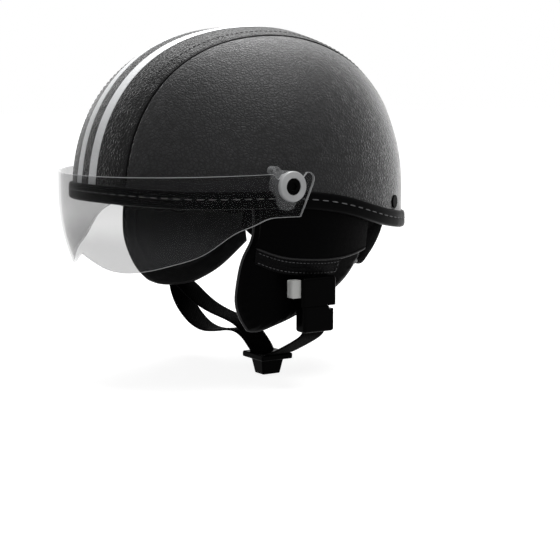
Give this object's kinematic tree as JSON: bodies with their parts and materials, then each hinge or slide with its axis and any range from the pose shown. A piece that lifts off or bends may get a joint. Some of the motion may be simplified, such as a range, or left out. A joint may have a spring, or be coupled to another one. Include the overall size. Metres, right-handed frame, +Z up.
{
  "type": "half shell motorcycle helmet",
  "caption": "Half shell motorcycle helmet in black leatherette with silver stripes, a clear flip-up visor, ear flaps, nape curtain and buckled chin strap.",
  "frame": {"origin": "head seat: middle of the widest section at the foot of the dome, 129 mm under the crown", "axes": "+X to the wearer's left, +Y to the back of the head so the brow faces -Y, +Z up through the crown"},
  "size_m": [0.247, 0.2804, 0.269],
  "materials": {
    "leatherette": "satin",
    "welt": "matte",
    "stripe": "satin",
    "shell_moulding": "satin",
    "foam": "matte",
    "pad_cloth": "matte",
    "rubber": "satin",
    "webbing": "matte",
    "clear": "gloss",
    "black_plastic": "gloss",
    "button_grey": "satin",
    "steel": "satin",
    "black_steel": "satin",
    "chrome": "gloss"
  },
  "bodies": {
    "root": {"outer_shell": "shell_moulding", "cover_centre": "leatherette", "cover_left": "leatherette", "cover_right": "leatherette", "seam_welt_left": "welt", "seam_welt_right": "welt", "stripe_left": "stripe", "stripe_right": "stripe", "edge_trim": "rubber", "foam_liner": "foam", "crown_pad": "pad_cloth", "headband": "pad_cloth", "ear_flap_left": "pad_cloth", "ear_flap_right": "pad_cloth", "flap_skin_left": "leatherette", "flap_skin_right": "leatherette", "belt_loop_left": "leatherette", "belt_loop_right": "leatherette", "yoke_left": "webbing", "yoke_right": "webbing", "nape_curtain": "pad_cloth", "visor_base_left": "clear", "visor_base_right": "clear", "washer_left": "steel", "washer_right": "steel", "knob_left": "clear", "knob_right": "clear", "pivot_screw_left": "black_steel", "pivot_screw_right": "black_steel", "pivot_nut_left": "steel", "pivot_nut_right": "steel", "strap_rivets": "black_steel", "rivet_washers": "steel", "stud_ring": "chrome", "stud_cap": "black_plastic", "buckle_housing": "black_plastic", "button_spring": "steel", "strap_adjuster": "black_plastic", "chin_strap_left": "webbing", "chin_strap_right": "webbing", "chin_strap_tail": "webbing"},
    "visor": {"visor": "clear"},
    "button": {"release_button": "button_grey", "latch_pawl": "black_plastic"},
    "tongue": {"buckle_tongue": "black_plastic"},
    "slider": {"chin_slider": "black_plastic"}
  },
  "joints": [
    {"name": "visor_tilt", "type": "hinge", "parent": "root", "child": "visor", "pos_m": [0, -0.0375, 0.011], "axis": [-1, 0, 0], "range_deg": [0, 60]},
    {"name": "button_press", "type": "slide", "parent": "root", "child": "button", "axis": [0, 1, 0], "range_m": [0, 0.004], "stiffness_N_per_m": 400, "deforming": ["button_spring"]},
    {"name": "buckle_release", "type": "slide", "parent": "root", "child": "tongue", "axis": [0, 0, -1], "range_m": [0, 0.024], "deforming": ["chin_strap_left"]},
    {"name": "slider_adjust", "type": "slide", "parent": "root", "child": "slider", "axis": [-0.9363, 0, 0.3511], "range_m": [0, 0.025], "deforming": ["chin_strap_left", "chin_strap_right", "chin_strap_tail"]}
  ]
}
